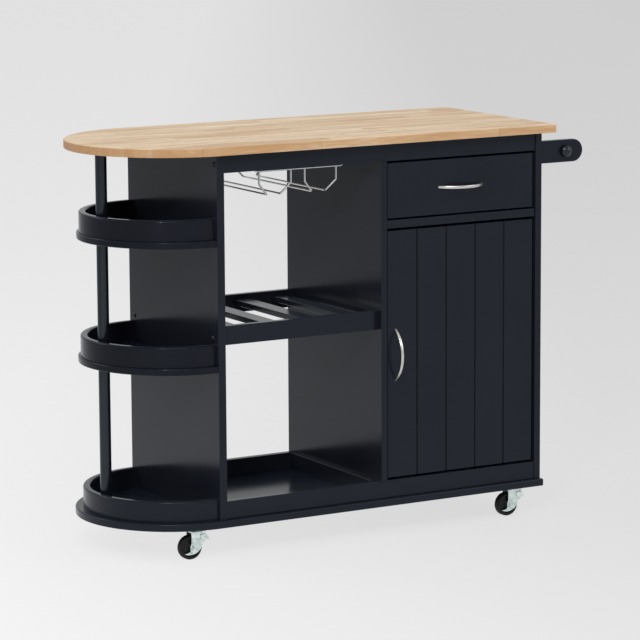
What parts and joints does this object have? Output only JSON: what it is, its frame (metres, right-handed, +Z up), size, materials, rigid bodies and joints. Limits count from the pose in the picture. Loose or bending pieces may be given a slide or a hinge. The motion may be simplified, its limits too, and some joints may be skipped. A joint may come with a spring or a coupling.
{
  "type": "kitchen island cart",
  "caption": "Rolling kitchen island cart with a half-round end of rimmed trays, an open bay with bottle shelf and stemware rack, a drawer over a cabinet, and a towel rail.",
  "frame": {"origin": "on the floor, under the middle of the whole cart's box", "axes": "+X from the half-round tray end to the towel rail end, the drawer and door face -Y, +Z up"},
  "size_m": [1.192, 0.474, 0.908],
  "materials": {
    "black_lacquer": "semi-gloss near-black lacquer on wood",
    "light_wood": "clear satin lacquer on pale jointed staves",
    "drawer_wood": "clear matte lacquer on pale wood",
    "chrome_wire": "polished",
    "black_steel": "satin black",
    "satin_nickel": "satin nickel",
    "zinc_steel": "bright zinc",
    "plate_steel": "dull zinc",
    "black_rubber": "matte black tread"
  },
  "bodies": {
    "cart_frame": {"worktop": "light_wood", "base_board": "black_lacquer", "left_side_panel": "black_lacquer", "divider_panel": "black_lacquer", "right_side_panel": "black_lacquer", "front_top_rail": "black_lacquer", "rear_top_rail": "black_lacquer", "front_bottom_rail": "black_lacquer", "rear_bottom_rail": "black_lacquer", "drawer_door_rail": "black_lacquer", "bay_side_rails": "black_lacquer", "cabinet_back_panel": "black_lacquer", "cabinet_shelf": "black_lacquer", "shelf_pins": "zinc_steel", "bottle_shelf_front_rail": "black_lacquer", "bottle_shelf_rear_rail": "black_lacquer", "bottle_shelf_slats": "black_lacquer", "upper_tray_board": "black_lacquer", "upper_tray_rim": "black_lacquer", "middle_tray_board": "black_lacquer", "middle_tray_rim": "black_lacquer", "base_tray_rim": "black_lacquer", "upper_post": "black_lacquer", "middle_post": "black_lacquer", "lower_post": "black_lacquer", "stemware_rack": "chrome_wire", "rack_screws": "zinc_steel", "towel_brackets": "black_lacquer", "towel_rod": "black_lacquer", "panel_bolts": "black_steel", "drawer_runner_channels": "zinc_steel", "door_hinge_arms": "zinc_steel", "caster_plates": "plate_steel", "caster_screws": "zinc_steel"},
    "drawer": {"drawer_front": "black_lacquer", "drawer_sides": "drawer_wood", "drawer_back": "drawer_wood", "drawer_bottom": "drawer_wood", "drawer_handle": "satin_nickel", "drawer_handle_screws": "zinc_steel", "drawer_runner_slides": "zinc_steel"},
    "drawer_cages": {"drawer_runner_cages": "zinc_steel"},
    "door": {"door_panel": "black_lacquer", "door_handle": "satin_nickel", "door_handle_screws": "zinc_steel", "door_hinge_cups": "zinc_steel"},
    "front_left_caster": {"front_left_fork": "zinc_steel", "front_left_axle": "zinc_steel"},
    "front_left_roller": {"front_left_wheel": "black_rubber"},
    "front_left_pedal": {"front_left_brake": "zinc_steel"},
    "front_right_caster": {"front_right_fork": "zinc_steel", "front_right_axle": "zinc_steel"},
    "front_right_roller": {"front_right_wheel": "black_rubber"},
    "front_right_pedal": {"front_right_brake": "zinc_steel"},
    "rear_left_caster": {"rear_left_fork": "zinc_steel", "rear_left_axle": "zinc_steel"},
    "rear_left_roller": {"rear_left_wheel": "black_rubber"},
    "rear_right_caster": {"rear_right_fork": "zinc_steel", "rear_right_axle": "zinc_steel"},
    "rear_right_roller": {"rear_right_wheel": "black_rubber"}
  },
  "joints": [
    {"name": "drawer_slide", "type": "slide", "parent": "cart_frame", "child": "drawer", "axis": [0, -1, 0], "range_m": [0, 0.24]},
    {"name": "drawer_cage_slide", "type": "slide", "parent": "cart_frame", "child": "drawer_cages", "axis": [0, -1, 0], "range_m": [0, 0.12]},
    {"name": "door_hinge", "type": "hinge", "parent": "cart_frame", "child": "door", "pos_m": [0.4605, -0.2055, 0.41105], "axis": [0, 0, 1], "range_deg": [0, 100]},
    {"name": "front_left_swivel", "type": "hinge", "parent": "cart_frame", "child": "front_left_caster", "pos_m": [-0.399, -0.177, 0.061], "axis": [0, 0, 1], "continuous": true},
    {"name": "front_left_spin", "type": "hinge", "parent": "front_left_caster", "child": "front_left_roller", "pos_m": [-0.419, -0.177, 0.027], "axis": [0, 1, 0], "continuous": true},
    {"name": "front_left_brake_press", "type": "hinge", "parent": "front_left_caster", "child": "front_left_pedal", "pos_m": [-0.392, -0.177, 0.049], "axis": [0, 1, 0], "range_deg": [0, 25]},
    {"name": "front_right_swivel", "type": "hinge", "parent": "cart_frame", "child": "front_right_caster", "pos_m": [0.428, -0.177, 0.061], "axis": [0, 0, 1], "continuous": true},
    {"name": "front_right_spin", "type": "hinge", "parent": "front_right_caster", "child": "front_right_roller", "pos_m": [0.408, -0.177, 0.027], "axis": [0, 1, 0], "continuous": true},
    {"name": "front_right_brake_press", "type": "hinge", "parent": "front_right_caster", "child": "front_right_pedal", "pos_m": [0.435, -0.177, 0.049], "axis": [0, 1, 0], "range_deg": [0, 25]},
    {"name": "rear_left_swivel", "type": "hinge", "parent": "cart_frame", "child": "rear_left_caster", "pos_m": [-0.399, 0.177, 0.061], "axis": [0, 0, 1], "continuous": true},
    {"name": "rear_left_spin", "type": "hinge", "parent": "rear_left_caster", "child": "rear_left_roller", "pos_m": [-0.419, 0.177, 0.027], "axis": [0, 1, 0], "continuous": true},
    {"name": "rear_right_swivel", "type": "hinge", "parent": "cart_frame", "child": "rear_right_caster", "pos_m": [0.428, 0.177, 0.061], "axis": [0, 0, 1], "continuous": true},
    {"name": "rear_right_spin", "type": "hinge", "parent": "rear_right_caster", "child": "rear_right_roller", "pos_m": [0.408, 0.177, 0.027], "axis": [0, 1, 0], "continuous": true}
  ],
  "couplings": [
    {"joint": "drawer_cage_slide", "follows": "drawer_slide", "ratio": 0.5}
  ]
}
